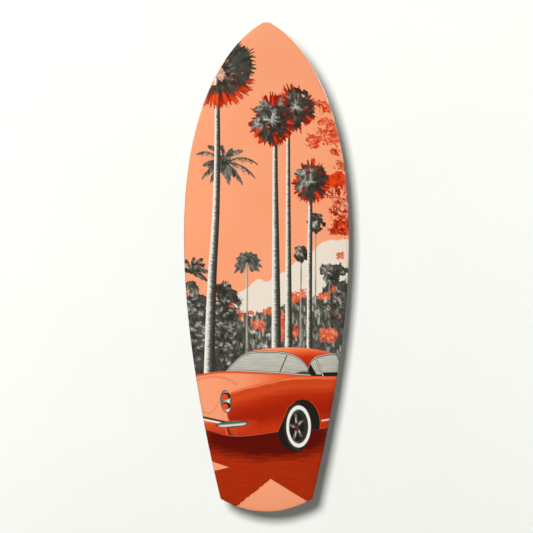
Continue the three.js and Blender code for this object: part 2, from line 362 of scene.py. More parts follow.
class Sheet:                                # foliage painted leaf by leaf
    def __init__(self, seed):
        self.x = np.arange(-282, 283, canvasStep)
        self.z = np.arange(-820, 821, canvasStep)
        self.colour = np.zeros((len(self.z), len(self.x), 3))
        self.cover = np.zeros((len(self.z), len(self.x)))
        self.rng = random.Random(seed)

    def dab(self, a, b, wideA, wideB, name):
        reach = max(wideA, wideB) + canvasStep
        i0, i1 = np.searchsorted(self.x, [min(a[0], b[0]) - reach, max(a[0], b[0]) + reach])
        j0, j1 = np.searchsorted(self.z, [min(a[1], b[1]) - reach, max(a[1], b[1]) + reach])
        if i0 >= i1 or j0 >= j1:
            return
        px = self.x[None, i0:i1] - a[0]
        pz = self.z[j0:j1, None] - a[1]
        dx, dz = b[0] - a[0], b[1] - a[1]
        t = np.clip((px * dx + pz * dz) / max(dx * dx + dz * dz, 1e-6), 0, 1)
        gap = np.hypot(px - t * dx, pz - t * dz) - (wideA + t * (wideB - wideA))
        cover = np.clip(0.5 - gap / canvasStep, 0, 1)
        self.colour[j0:j1, i0:i1] += (np.array(inks[name][:3]) - self.colour[j0:j1, i0:i1]) * cover[..., None]
        self.cover[j0:j1, i0:i1] += (1 - self.cover[j0:j1, i0:i1]) * cover

    def stroke(self, points, wide, name):
        for k in range(len(points) - 1):
            taper = [wide * (1 - 0.8 * (k + step) / (len(points) - 1)) for step in (0, 1)]
            self.dab(points[k], points[k + 1], taper[0], taper[1], name)

    def pick(self, names):
        return names[int(self.rng.random() * len(names))]

    def bank(self, line, left, right, name):    # solid growth below a ragged line
        height = np.interp(self.x, [p[0] for p in line], [p[1] for p in line])
        height = height + 5 * np.sin(self.x / 6) + 7 * np.sin(self.x / 17 + 1)
        cover = np.clip(0.5 - (self.z[:, None] - height[None]) / canvasStep, 0, 1)
        cover = cover * ((self.x > left) & (self.x < right))[None] * (self.z > -400)[:, None]
        self.colour += (np.array(inks[name][:3]) - self.colour) * cover[..., None]
        self.cover += (1 - self.cover) * cover

    def blades(self, line, left, right, low, count, tall, tones):
        for _ in range(count):              # grass and stems standing in the bank
            x = self.rng.uniform(left, right)
            top = np.interp(x, [p[0] for p in line], [p[1] for p in line])
            z = self.rng.uniform(low, top)
            bend = self.rng.uniform(-5, 5)
            rise = self.rng.uniform(0.5, 1.0) * tall
            self.stroke([(x, z), (x + bend * 0.4, z + rise * 0.6), (x + bend, z + rise)],
                        self.rng.uniform(1.5, 2.6), self.pick(tones))

    def leaf(self, hub, angle, reach, tones, spread=2.2, count=9):
        tips = []
        for k in range(count):
            off = k / (count - 1) - 0.5
            turn = angle + spread * off + self.rng.uniform(-0.07, 0.07)
            far = reach * (1 - 0.45 * abs(off)) * self.rng.uniform(0.8, 1.1)
            x, z = around(hub, turn, far)
            tips.append((x, z - 0.08 * far))
        wide = max(1.5, reach * 0.075)
        for tip in tips:
            self.stroke([hub, tip], wide + 1.5, tones[0])
        for tip in tips:
            self.stroke([hub, tip], wide, self.pick(tones[1:]))

    def crown(self, centre, size, leaves, tipShare=0.5, reach=0.42):
        r = self.rng
        wide, high = size
        for k in range(leaves * 5):         # coloured tips reach past the leaves
            angle = 2 * math.pi * k / (leaves * 5) + r.uniform(-0.1, 0.1)
            if r.random() < tipShare * (0.8 - 0.5 * math.sin(angle) + 0.4 * math.sin(3 * angle + centre[0])):
                ends = [around(centre, angle, wide * q, high * q) for q in (0.4, r.uniform(0.86, 1.08))]
                self.stroke(ends, wide * 0.09, self.pick(("red", "deepRed", "deepRed")))
        for _ in range(60):                 # a dark heart, so no sky shows through the middle
            angle, far = r.uniform(0, 2 * math.pi), 0.5 * math.sqrt(r.random())
            spot = around(centre, angle, wide * far, high * far)
            self.dab(spot, spot, wide * 0.09, wide * 0.09, self.pick(("dark", "black", "shade")))
        for k in range(leaves):             # leaves from the rim inwards
            share = 0.7 * math.sqrt(1 - (k + 0.5) / leaves)
            angle = 2.4 * k + r.uniform(-0.3, 0.3)
            hub = around(centre, angle, wide * share, high * share)
            light = 0.3 * math.sin(angle) - 0.6 * math.cos(angle) + r.uniform(-0.5, 0.6)
            tones = litLeaf if light > 0.34 else midLeaf if light > -0.2 else darkLeaf
            self.leaf(hub, angle + r.uniform(-0.5, 0.5), min(size) * reach * r.uniform(0.8, 1.1), tones)
        for _ in range(leaves // 2):        # pale stalks near the heart
            angle = r.uniform(0, 2 * math.pi)
            end = around(centre, angle, min(size) * r.uniform(0.2, 0.42))
            self.stroke([centre, end], 1.5, self.pick(("light", "pale", "black")))

    def frond(self, base, knee, tip, leaf, names, wide):
        spine = []
        for k in range(22):
            t = k / 21
            shares = ((1 - t) ** 2, 2 * (1 - t) * t, t * t)
            spine.append([shares[0] * a + shares[1] * b + shares[2] * c for a, b, c in zip(base, knee, tip)])
        for k in range(2, 22):
            tx, tz = spine[k][0] - spine[k - 1][0], spine[k][1] - spine[k - 1][1]
            size = math.hypot(tx, tz) or 1
            for side in (-1, 1):
                far = leaf * math.sin(math.pi * min(1, 0.2 + 0.8 * k / 22)) * self.rng.uniform(0.7, 1.15)
                ax = (0.8 * tx - side * 0.6 * tz) / size
                az = (0.8 * tz + side * 0.6 * tx) / size - 0.6
                end = (spine[k][0] + far * ax, spine[k][1] + far * az)
                self.stroke([spine[k], end], wide, self.pick(names))
        self.stroke(spine, 1.8, "dark")

    def plume(self, centre, reaches, leaf, names, wide=1.5):
        for angle, far in reaches:          # arching fronds all round one heart
            knee, tip = around(centre, angle, 0.55 * far), around(centre, angle, far)
            knee, tip = (knee[0], knee[1] + 0.28 * far), (tip[0], tip[1] - 0.16 * far)
            self.frond(centre, knee, tip, leaf, names, wide)

    def thicket(self, spots, reach, tones):  # broad fan leaves crowded together
        for spot in spots:
            for _ in range(5):
                hub = (spot[0] + self.rng.gauss(0, 0.35) * reach, spot[1] + self.rng.gauss(0, 0.35) * reach)
                angle = self.rng.uniform(0.1, 3.0)
                self.leaf(hub, angle, reach * self.rng.uniform(0.6, 1.0), self.pick(tones), 2.4, 8)

    def blossom(self, centre, wide, tall, count, names=("flower", "flower", "red", "sky"), size=2.0):
        for _ in range(count):
            x = centre[0] + wide * self.rng.uniform(-1, 1) * self.rng.random() ** 0.4
            z = centre[1] + tall * self.rng.uniform(-1, 1) * self.rng.random() ** 0.4
            turn = self.rng.uniform(0, math.pi)
            end = around((x, z), turn, size * self.rng.uniform(1.0, 2.6))
            self.dab((x, z), end, size * self.rng.uniform(0.6, 1.1), size * 0.5, self.pick(names))

    def spread(self):                       # colour runs on past its edge, so no edge darkens
        weight = self.cover[..., None] + 1e-6
        colour = self.colour
        for _ in range(4):
            near = sum(np.roll(colour * weight, s, axis=k) for s in (-1, 1) for k in (0, 1))
            near = near + colour * weight * 4
            nearWeight = sum(np.roll(weight, s, axis=k) for s in (-1, 1) for k in (0, 1)) + weight * 4
            colour = np.where(self.cover[..., None] > 0.6, self.colour, near / nearWeight)
            weight = nearWeight / 8
        self.colour = colour

    def sampled(self, x, z):
        u = np.clip((x - self.x[0]) / canvasStep, 0, len(self.x) - 1.001)
        v = np.clip((z - self.z[0]) / canvasStep, 0, len(self.z) - 1.001)
        i, j = u.astype(int), v.astype(int)
        s, t = (u - i)[:, None], (v - j)[:, None]
        stack = np.concatenate([self.colour, self.cover[..., None]], axis=2)
        return (
            stack[j, i] * (1 - s) * (1 - t) + stack[j, i + 1] * s * (1 - t)
            + stack[j + 1, i] * (1 - s) * t + stack[j + 1, i + 1] * s * t
        )


growth = {                                  # places and sizes in millimetres, from the board's middle
    "hedge": ((-290, -96), (-240, -88), (-214, -100), (-180, -96), (-120, -120), (-96, -150), (-60, -156),
              (-20, -150), (30, -138), (70, -122), (96, -112), (130, -104), (160, -96), (190, -70),
              (240, -52), (290, -50)),
    "blades": (                             # left, right, lowest, how many, how tall, and their inks
        (-110, 262, -380, 900, 22, ("grey", "dark", "shade", "grey", "pale")),
        (-110, 262, -372, 260, 30, ("light", "pale", "black", "dark")),
        (-290, -96, -380, 420, 20, ("black", "dark", "dark", "shade"))),
    "stems": ((-64, 16, -285, 2.9), (115, 30, -262, 2.4), (164, 140, -120, 2.6)),   # x, top, foot, width
    "flowers": (                            # place, half width and height, how many petals
        ((-90, -160), 17, 18, 90), ((-28, -190), 26, 20, 120), ((-116, -124), 8, 9, 34),
        ((4, -146), 20, 12, 60), ((52, -196), 9, 54, 150), ((96, -98), 20, 22, 110), ((122, -86), 12, 16, 70),
        ((190, -96), 26, 12, 80), ((224, -72), 10, 12, 40), ((232, -162), 20, 11, 70),
        ((206, -226), 36, 26, 230), ((98, -214), 9, 26, 60), ((-52, -152), 12, 6, 26),
        ((140, -180), 6, 22, 30)),
    "paleSpots": (((10, -226), 16, 7, 24), ((-44, -214), 12, 6, 24), ((-10, -262), 26, 8, 30),
                  ((170, -150), 10, 9, 22)),
    "smallPlume": ((-2.9, 44), (-2.5, 54), (2.75, 40), (2.2, 40), (1.7, 36), (1.2, 38), (0.7, 42), (0.2, 46),
                   (-0.25, 50), (-0.6, 48), (-2.15, 40), (-1.0, 36)),
    "smallCrowns": (((116, 46), (28, 32), 12, 0.5), ((164, 150), (34, 40), 14, 0.46),
                    ((211, -18), (34, 38), 14, 0.56)),
    "shrubs": (                             # fan leaves round each place, their reach and inks
        (((256, -20), (262, -60), (240, -96), (258, -130), (222, -128), (250, -170), (216, -176), (262, -210),
          (204, -136)), 26, (darkLeaf, midLeaf, litLeaf, midLeaf)),
        (((-262, -64), (-232, -74), (-246, -110), (-222, -140), (-258, -150), (-240, -190), (-216, -220),
          (-250, -236), (-232, -276), (-252, -300)), 26, (darkLeaf, midLeaf, litLeaf, midLeaf)),
        (((-152, -76), (-130, -92), (-116, -110), (-160, -112), (-140, -140), (-112, -158), (-156, -172),
          (-128, -196), (-104, -216), (-150, -226), (-120, -250), (-156, -282), (-118, -300), (-138, -330),
          (-100, -276)), 30, (darkLeaf, midLeaf, midLeaf, litLeaf, darkLeaf))),
    "edgePlume": ((1.4, 66), (1.9, 60), (0.7, 62), (0.25, 64), (-0.25, 58), (2.5, 40), (1.0, 74)),
    "shrubPlume": ((0.2, 54), (0.8, 46), (2.4, 44), (2.9, 46), (1.5, 34)),
    "featherPlume": ((2.65, 104), (2.2, 92), (0.75, 84), (1.15, 66), (1.7, 74), (0.15, 112), (-0.3, 110),
                     (-0.75, 86), (3.05, 72), (3.6, 84), (-2.3, 70), (-1.3, 60)),
    "sprays": (                             # place, spread across and up, how many leaves
        (176, 546, 9, 6, 60), (200, 530, 10, 7, 110), (196, 486, 12, 6, 70), (222, 466, 10, 11, 140),
        (190, 452, 12, 7, 60), (232, 430, 9, 13, 130), (176, 430, 9, 4, 60), (156, 410, 10, 6, 120),
        (206, 424, 12, 7, 90), (230, 386, 10, 7, 50), (252, 340, 9, 8, 90), (150, 436, 10, 6, 24)),
    "lowSprays": ((240, 140, 13, 13, 130), (226, 122, 8, 6, 50), (258, 118, 7, 7, 40)),
    "bigCrowns": (((148, 288), (62, 76), 28, 0.75, 0.36), ((96, 534), (68, 84), 34, 0.45, 0.34),
                  ((16, 492), (74, 88), 40, 0.7, 0.33)),
    "tallHeart": (-166, 642),
    "tallFill": ((-122, 686), (-130, 662), (-140, 704), (-112, 668), (-106, 690)),
    "tallLeaves": (                         # place, reach, heading
        ((-84, 700), 52, 0.5), ((-112, 722), 50, 1.1), ((-76, 664), 46, 0.0), ((-92, 632), 42, -0.6),
        ((-122, 612), 40, -1.2), ((-160, 606), 38, -1.7), ((-200, 614), 42, -2.4), ((-146, 742), 46, 1.5),
        ((-186, 716), 52, 2.0), ((-98, 676), 50, 0.4), ((-120, 690), 48, 0.9), ((-112, 650), 42, -0.2),
        ((-136, 628), 34, -1.0), ((-150, 706), 42, 1.2)),
}


def paintHedge(s):                          # grass, stems and flowers in the bank, and the far palms
    for left, right, low, count, tall, tones in growth["blades"]:
        s.blades(growth["hedge"], left, right, low, count, tall, tones)
    for x, top, foot, wide in growth["stems"]:
        s.dab((x, top), (x - 1, foot), wide * 0.8, wide, "grey")
        s.dab((x - wide * 0.5, top), (x - 1 - wide * 0.5, foot), wide * 0.4, wide * 0.5, "light")
    s.dab((212, -20), (216, -140), 5, 6.5, "dark")
    s.dab((209, -30), (211, -140), 1.4, 2, "pale")
    s.dab((245, 26), (243, -50), 1.0, 1.2, "shade")
    for spot in growth["flowers"]:
        s.blossom(*spot)
    s.blossom((245, 40), 15, 14, 80, ("flower", "flower", "sky", "red"), 1.8)
    for spot in growth["paleSpots"]:
        s.blossom(*spot, names=("light", "pale", "white", "grey"), size=1.7)
    s.plume((-64, 22), growth["smallPlume"], 13, ("shade", "dark", "grey", "pale"))
    for centre, size, leaves, reach in growth["smallCrowns"]:
        s.crown(centre, size, leaves, 0.0, reach)


def paintShrubs(s):
    r = s.rng
    for spots, reach, tones in growth["shrubs"]:
        s.thicket(spots, reach, tones)
    s.plume((-252, -20), growth["edgePlume"], 15, ("black", "dark", "shade", "pale"))
    s.plume((-150, -84), growth["shrubPlume"], 13, ("black", "dark", "shade"))
    for _ in range(70):                     # sunlit blades and gaps
        spot = (r.uniform(-262, -96), r.uniform(-330, -110))
        angle = r.uniform(-0.5, 3.6)
        s.leaf(spot, angle, r.uniform(10, 22), s.pick((litLeaf, ("black", "light", "grey", "pale"))), 1.1, 4)
    for _ in range(5):                      # fruit and old leaves at the heart of the feathery palm
        spot = (-138 + r.uniform(-9, 9), 316 + r.uniform(-14, 14))
        s.blossom(spot, 12, 16, 30, ("dark", "shade", "grey"), 3.0)
    s.plume((-141, 346), growth["featherPlume"], 19, ("shade", "dark", "grey", "pale"))


def paintRedTree(s):                        # loose red sprays at the right edge, thin where they end
    r = s.rng
    for x, z, wide, tall, count in growth["sprays"]:
        for _ in range(count):
            spot = (r.gauss(x, wide), r.gauss(z, tall))
            end = around(spot, r.uniform(0, math.pi), 5)
            s.dab(spot, end, r.uniform(1.3, 2.6), 1.2,
                  s.pick(("red", "red", "flower", "deepRed", "red", "sky")))
    for _ in range(480):                    # the thick canopy
        x = 292 - 104 * r.random() ** 1.3
        z = r.uniform(270, 312) + 8 * math.sin(x / 9)
        end = (x + r.uniform(-8, 8), z + r.uniform(-4, 4))
        s.dab((x, z), end, 4.2, 3, s.pick(("red", "red", "red", "rust")))
    for _ in range(210):                    # curling twigs that hang below it
        spot = (r.uniform(190, 286), r.uniform(112, 268))
        if spot[0] > 268 - 74 * ((spot[1] - 108) / 160) ** 0.6 + 10 * math.sin(spot[1] / 11):
            heading, turn = r.uniform(0, 2 * math.pi), r.uniform(-1.1, 1.1)
            points = [spot]
            for k in range(5):
                points.append(around(points[-1], heading + turn * k, 5))
            s.stroke(points, r.uniform(1.5, 2.3), s.pick(("deepRed", "deepRed", "red", "sky")))
    for x, z, wide, tall, count in growth["lowSprays"]:
        for _ in range(count):
            spot = (r.gauss(x, wide), r.gauss(z, tall))
            s.dab(spot, (spot[0] + r.uniform(-4, 4), spot[1] + 3), r.uniform(1.3, 2.2), 1.2,
                  s.pick(("deepRed", "red", "deepRed")))


def paintBehind():                          # all that the big trunks stand in front of
    s = Sheet(11)
    s.bank(growth["hedge"], -290, 290, "shade")
    paintHedge(s)
    paintShrubs(s)
    paintRedTree(s)
    s.spread()
    return s


def paintFront():                           # the big crowns, and the tall left palm's own
    s = Sheet(23)
    r = s.rng
    for crown in growth["bigCrowns"]:
        s.crown(*crown)
    heart = growth["tallHeart"]
    for _ in range(190):                    # its skirt of old leaves
        angle = r.uniform(-3.1, -0.12)
        near, far = r.uniform(40, 62), r.uniform(92, 116) + 22 * math.cos(angle) ** 2
        s.stroke([around(heart, angle, near), around(heart, angle, far)], r.uniform(3.0, 5.0),
                 s.pick(("red", "red", "deepRed", "flower", "red", "rust")))
    for _ in range(40):
        angle = r.uniform(-2.9, -0.3)
        s.stroke([around(heart, angle, 50), around(heart, angle, r.uniform(80, 108))], 2.6,
                 s.pick(("deepRed", "deepRed", "dark")))
    for spot in growth["tallFill"]:
        s.dab(spot, spot, 15, 15, "shade")
    for place, size, turn in growth["tallLeaves"]:
        tones = ("dark", "shade", "shade", "dark") if size % 4 == 0 else ("black", "shade", "dark", "shade")
        s.leaf(place, turn, size, tones, 2.6, 14)
    for angle in (0.9, 0.6, 0.35, 0.05, -0.3, -0.7, -1.1, -2.2, -2.7):
        far = r.uniform(44, 66)
        s.stroke([heart, around(heart, angle, far)], 2.4, s.pick(("light", "pale", "sky")))
        s.leaf(around(heart, angle, 0.5 * far), angle - 0.2, 26, s.pick((litLeaf, darkLeaf)), 1.0, 5)
    s.spread()
    return s


trunks = {                                  # heights, and the middle and half width there
    "tallLeft": ((-352, -191, 18), (-58, -182, 15), (222, -167, 11.5), (634, -165, 8)),
    "centre": ((-270, 33, 16), (60, 31, 12), (300, 29, 9), (450, 29, 7.5)),
    "centreBack": ((-270, 74, 12.3), (60, 73, 9), (300, 72.5, 7), (450, 72.5, 6)),
    "right": ((-270, 143, 9), (60, 144.5, 8), (180, 146, 7.2), (262, 146, 6.6)),
}


coupe = {                                   # heights along the car, its lamps, bumper and wheel
    "bodyTop": ((-262, -364), (-200, -352), (-150, -346), (-40, -348), (40, -352), (140, -360), (262, -362)),
    "bodyFoot": ((-262, -530), (-196, -543), (-116, -561), (-30, -556), (40, -546), (170, -538), (262, -520)),
    "roofTop": ((-92, -300), (-66, -283), (-10, -271), (60, -265.5), (120, -267), (170, -273), (262, -298)),
    "glassTop": ((-138, -350), (-112, -322), (-84, -297), (-60, -286), (0, -281), (56, -284), (98, -297),
                 (128, -322), (148, -362)),
    "sideTop": ((136, -352), (143, -326), (156, -306), (176, -296), (262, -291)),
    "sideFoot": ((136, -354), (152, -364), (184, -371), (262, -368)),
    "crease": ((-262, -430), (-150, -428), (-112, -412), (-50, -393), (34, -374), (80, -366), (140, -363),
               (262, -366)),
    "lidEdge": ((-262, -474), (-214, -481), (-186, -484), (-170, -466), (-154, -436), (-148, -426)),
    "lidFold": ((-262, -392), (-200, -366), (-140, -368), (-90, -392), (-60, -396), (262, -396)),
    "corner": (                             # each height, and x there
        (-600, -96), (-540, -104), (-515, -122), (-490, -131), (-440, -128), (-414, -120)),
    "glassSides": (-138, 148), "mast": 52, "post": 176, "dash": ((128, -362), (40, 17)),
    "screenPost": ((233, -284), (252, -326)), "sill": ((186, -510), (262, -498)),
    "lampHousing": ((-135, -446), (17, 35)), "lampHeights": (-431, -463),
    "bumper": ((-270, -489), (-134, -518)), "bumperLight": ((-270, -494), (-140, -520)),
    "bumperEnd": ((-114, -521), (48, 10)), "stay": ((-134, -530), (-120, -556)),
    "stayLight": ((-136, -534), (-133, -554)), "groundShade": ((0, -560), (240, 74)),
}
wheel = {                                   # places, and half widths and heights
    "arch": ((120, -520), (58, 81)), "tyre": ((100, -532), (49, 80)), "tyreBack": ((80, -540), (42, 66)),
    "centre": (107, -529), "tread": (46, 76), "wall": (41, 70), "rim": (32, 57),
    "hub": (101, -531), "well": (25, 47), "boss": (8, 14), "bolt": (4, 7),
    "spokes": 5, "firstSpoke": 0.5, "spokeTurn": 1.25, "spoke": (20, 41), "gleam": ((7, 14), (14, 31)),
}


class Print(Paint):                         # the deck's picture, one ink laid over another
    def __init__(self, name):
        super().__init__(name)
        self.x, _, self.z = self.place()

    def lines(self, *names):                # the car's heights for each x
        return [self.graph(self.x, coupe[name], -600, -200) for name in names]

    def all(self, first, *others):          # the gap that is inside every one
        for gap in others:
            first = self.most(first, gap)
        return first

    def ellipse(self, centre, size, tilt=0.0):
        dx, dz = self.x - centre[0], self.z - centre[1]
        c, s = math.cos(tilt), math.sin(tilt)
        u, v = (dx * c + dz * s) / size[0], (dz * c - dx * s) / size[1]
        return (self.sum("SQRT", u * u + v * v) - 1) * min(size)

    def bar(self, ends, half):
        (x0, z0), (x1, z1) = ends
        dx, dz = x1 - x0, z1 - z0
        along = (self.x - x0) * dx + (self.z - z0) * dz
        along = self.sum("DIVIDE", along, dx * dx + dz * dz, clamp=True)
        u = self.x - x0 - along * dx
        v = self.z - z0 - along * dz
        return self.sum("SQRT", u * u + v * v) - half

    def lay(self, base, tone, gap, soft=1.4, share=1.0):
        mask = self.inside(gap, soft)
        if share != 1.0:
            mask = mask * share
        return self.over(base, inks[tone] if isinstance(tone, str) else tone, mask)

    def layers(self, base, rows):           # each an ink, a gap, and then its softness and strength
        for row in rows:
            base = self.lay(base, *row)
        return base


def drawTrunk(p, colour, steps):
    low, high = steps[0][0], steps[-1][0]
    middle = p.graph(p.z, [(height, place) for height, place, _ in steps], -300, 300)
    half = p.graph(p.z, [(height, wide) for height, _, wide in steps], 0, 30)
    across = (p.x - middle) / half
    rings = p.noise(150, 3.0, (0.35, 1, 1.6), 0.65)
    spots = p.noise(420, 2.0, (1, 1, 0.8), 0.6)
    bark = p.ramp(across * 0.72 + 0.58 + (rings - 0.5) * 0.9 + (spots - 0.5) * 0.5, [
        (0.0, inks["white"]), (0.3, inks["light"]), (0.52, inks["grey"]), (0.72, inks["shade"]),
        (1.0, inks["dark"])])
    body = p.inside((abs(across) - 1) * half)
    return p.over(colour, bark, body * p.inside(low - p.z) * p.inside(p.z - high))


def drawFoliage(p, colour, name):
    leaf = p.node("ShaderNodeAttribute", {"attribute_name": name}, out=0)
    cover = p.node("ShaderNodeAttribute", {"attribute_name": name}, out=3)
    grain = p.noise(330, 2.0) - 0.5
    mask = p.sum("MULTIPLY", cover - 0.34 + grain * 0.25, 3.2, clamp=True)
    return p.over(colour, leaf, mask)


def drawGround(p, colour, streak, foot):    # the ground, the car's shadow and three patches of light
    x, z = p.x, p.z
    ragged = (p.noise(60, 3.0, (1, 1, 3)) - 0.5) * 16
    patch = p.all((z + 706) + (x - 18) * 0.62, (z + 700) - (x - 18) * 0.82 + ragged, x - 190)
    tailPatch = p.all(z + 790, -40 - x + ragged, x - 90)
    sliver = p.all((z + 647) + (x + 180) * 0.33, (x + 180) * 0.26 - (z + 679), x + 122)
    ground = p.ramp(streak, [(0.3, ink(166, 38, 3)), (0.7, ink(180, 47, 8))])
    ground = p.layers(ground, [
        ("night", p.ellipse(*coupe["groundShade"]) + (streak - 0.5) * 46, 34, 0.94),
        ("sky", p.least(patch, tailPatch), 2), ("sky", sliver, 2)])
    return p.lay(colour, ground, z - foot)


def drawCabin(p, colour, streak, top):      # roof, rear window and side windows
    x, z = p.x, p.z
    roof, glassTop, sideTop, sideFoot = p.lines("roofTop", "glassTop", "sideTop", "sideFoot")
    roofTone = p.ramp((roof - z) / 60 + (x - 60) / 420, [
        (0.0, ink(252, 148, 100)), (0.22, ink(247, 124, 74)), (0.42, inks["paintOrange"]),
        (0.66, inks["paintRed"]), (1.0, inks["rust"])])
    glass = p.ramp(streak + (z + 350) / 300, [(0.3, inks["pale"]), (0.75, ink(198, 196, 182))])
    rear = p.all(z - glassTop, top - z - 1, coupe["glassSides"][0] - x, x - coupe["glassSides"][1])
    side = p.all(z - sideTop, sideFoot - z, 138 - x)
    post = x - coupe["post"] + (z + 330) * 0.42
    quarter = p.all(side + 3, post + 3.5, -356 - z, 143 - x - (z + 314) * 0.57)
    door = p.all(side + 3, 3 - post, -349 - z)
    mast = abs(x - coupe["mast"] - (z + 330) * 0.42) - 1.7
    screenPost = p.bar(coupe["screenPost"], 3.4)
    return p.layers(colour, [
        (roofTone, p.all(z - roof, top - z, -92 - x)),
        ("dark", rear - 4.2), ("light", rear - 2.2), ("black", rear + 0.4), (glass, rear + 2.6),
        ("dark", side - 4), ("light", side - 2.4), ("black", side), (glass, p.least(quarter, door)),
        ("light", p.most(abs(post) - 1.6, side)), ("black", p.all(mast, rear + 2, z + 292)),
        ("shade", p.most(rear + 3, p.ellipse(*coupe["dash"])), 4),
        ("black", screenPost), ("pale", screenPost + 2.2)])


def drawBody(p, colour, streak, top, foot):  # pale lid and tail, red side
    x, z = p.x, p.z
    crease, lidEdge, lidFold = p.lines("crease", "lidEdge", "lidFold")
    corner = p.graph(z, coupe["corner"], -200, 0)
    gleam = p.noise(14, 4.0, (1, 1, 14), 0.6)
    flank = p.ramp((crease - z) / 190 + (gleam - 0.5) * 0.2, [
        (0.0, ink(238, 112, 64)), (0.06, ink(206, 66, 22)), (0.16, ink(214, 74, 30)), (0.3, ink(188, 44, 8)),
        (0.46, ink(170, 32, 2)), (0.62, ink(168, 32, 2)), (0.84, ink(202, 52, 12)), (1.0, ink(182, 40, 6))])
    tail = p.ramp((x + 262) / 500 + (streak - 0.5) * 0.1, [
        (0.05, inks["sky"]), (0.38, ink(250, 152, 108)), (0.6, ink(238, 106, 58)), (0.9, ink(196, 50, 12))])
    under = p.ramp((z + 560) / 50, [(0.0, ink(190, 44, 10)), (1.0, inks["paintOrange"])])
    skin = p.layers(tail, [
        (flank, p.most(z - crease, corner - x), 6),
        ("paintOrange", abs(z - top + 3) - 3.5, 4),
        ("sky", p.most(abs(z - crease + 5) - 1.2, -96 - x), 3, gleam * 1.1),
        ("flower", p.most(abs(z - lidFold) - 3, x + 96), 5, 0.55),
        ("shade", p.most(abs(z - lidEdge) - 0.8, x + 150), 1.6, 0.8),
        (under, z + 512 - (x + 140) * 0.04, 9, p.inside(x + 66, 90))])
    trim = p.all(abs(z - top - 2.2) - 2.2, -132 - x, x - coupe["glassSides"][1])
    return p.layers(colour, [(skin, p.most(z - top, foot - z)), ("dark", trim - 0.6), ("light", trim + 0.9)])


def drawWheel(p, colour):                   # arch, tyre with its pale wall, rim and hub
    x, z = p.x, p.z
    lip = 66 + (z + 482) * 0.42 - x         # the wing's edge, which covers the tyre's far side
    arch = p.least(p.most(p.ellipse(*wheel["arch"]), -540 - z), p.all(x - 110, z + 482, -546 - z))
    tyre = p.least(p.ellipse(*wheel["tyre"]), p.ellipse(*wheel["tyreBack"]))
    dark = p.most(p.least(arch, tyre), lip)
    centre, hub = wheel["centre"], wheel["hub"]
    rim = p.ellipse(centre, wheel["rim"])
    colour = p.layers(colour, [
        ("paintOrange", p.all(dark - 2.4, -540 - z, z + 446), 1.4, 0.5), ("black", dark),
        ("shade", p.all(abs(p.ellipse(centre, wheel["tread"])) - 1.2, x - 112, lip), 1.4, 0.55),
        ("white", p.ellipse(centre, wheel["wall"])), ("dark", rim),
        ("grey", p.most(abs(rim + 2.2) - 0.9, x - centre[0])), ("black", p.ellipse(hub, wheel["well"]))])
    for k in range(wheel["spokes"]):
        turn = wheel["firstSpoke"] + wheel["spokeTurn"] * k
        spoke = p.bar((hub, around(hub, turn, *wheel["spoke"])), 5.2)
        gleam = [around(hub, turn + 0.12, *size) for size in wheel["gleam"]]
        colour = p.layers(colour, [
            ("shade", spoke), ("grey", spoke + 2.4, 2), ("white", p.bar(gleam, 1.2), 1.4, 0.8)])
    colour = p.lay(colour, "dark", p.ellipse(hub, wheel["boss"]))
    return p.lay(colour, "deepRed", p.ellipse(hub, wheel["bolt"]))


def drawTrim(p, colour):                    # lamps, bumper and sill strip
    housing = p.ellipse(*coupe["lampHousing"], 0.12)
    metal = p.ramp((p.x + 150) / 32, [
        (0.1, inks["grey"]), (0.45, inks["pale"]), (0.75, inks["white"]), (0.95, inks["shade"])])
    colour = p.layers(colour, [("shade", housing - 1.6), (metal, housing)])
    for height in coupe["lampHeights"]:
        colour = p.layers(colour, [
            ("black", p.ellipse((-134, height + 3), (14, 12))),
            ("red", p.ellipse((-138, height), (11.5, 11)) + 1),
            ("flower", p.ellipse((-141, height + 3), (3.4, 3.4)), 2)])
    end = p.ellipse(*coupe["bumperEnd"], 0.09)
    chrome = p.ramp((p.z + 531 - (p.x + 114) * 0.09) / 20, [
        (0.08, inks["shade"]), (0.26, inks["white"]), (0.5, inks["pale"]), (0.66, inks["shade"]),
        (0.9, inks["grey"])])
    return p.layers(colour, [
        ("dark", p.bar(coupe["bumper"], 6)), ("white", p.bar(coupe["bumperLight"], 2.8)), ("dark", end - 1.4),
        ("dark", p.bar(coupe["stay"], 3)), ("paintOrange", p.bar(coupe["stayLight"], 3)), (chrome, end),
        ("light", p.bar(coupe["sill"], 3))])


hillTop = ((-150, -104), (-110, -84), (-73, -72), (-52, -54), (-32, -39), (0, -43), (24, -28), (58, -14),
           (90, 12), (150, 50), (174, 76), (198, 88), (226, 92), (280, 92))


def printedDeck():
    p = Print("printedDeck")
    colour = p.ramp(p.noise(6, 2.0), [(0.3, ink(251, 160, 117)), (0.7, ink(253, 166, 123))])
    puffs = (p.noise(38, 2.0) - 0.5) * 22
    hills = p.most(p.z - p.graph(p.x, hillTop, -300, 200) + puffs, -150 - p.x)
    colour = p.lay(colour, "cream", hills, 1.6)
    colour = drawFoliage(p, colour, "growthBehind")
    for steps in trunks.values():
        colour = drawTrunk(p, colour, steps)
    colour = drawFoliage(p, colour, "growthFront")
    top, foot = p.lines("bodyTop", "bodyFoot")
    streak = p.noise(20, 3.0, (1, 1, 9), 0.55)
    colour = drawGround(p, colour, streak, foot)
    colour = drawCabin(p, colour, streak, top)
    colour = drawBody(p, colour, streak, top, foot)
    colour = drawTrim(p, drawWheel(p, colour))
    peel = p.bump(p.noise(260, 2.0), 0.05, 0.0004)
    return p.finish(
        Base_Color=colour, Roughness=0.34, Specular_IOR_Level=0.25, Coat_Weight=0.3, Coat_Roughness=0.08,
        Coat_IOR=1.5, Normal=peel)


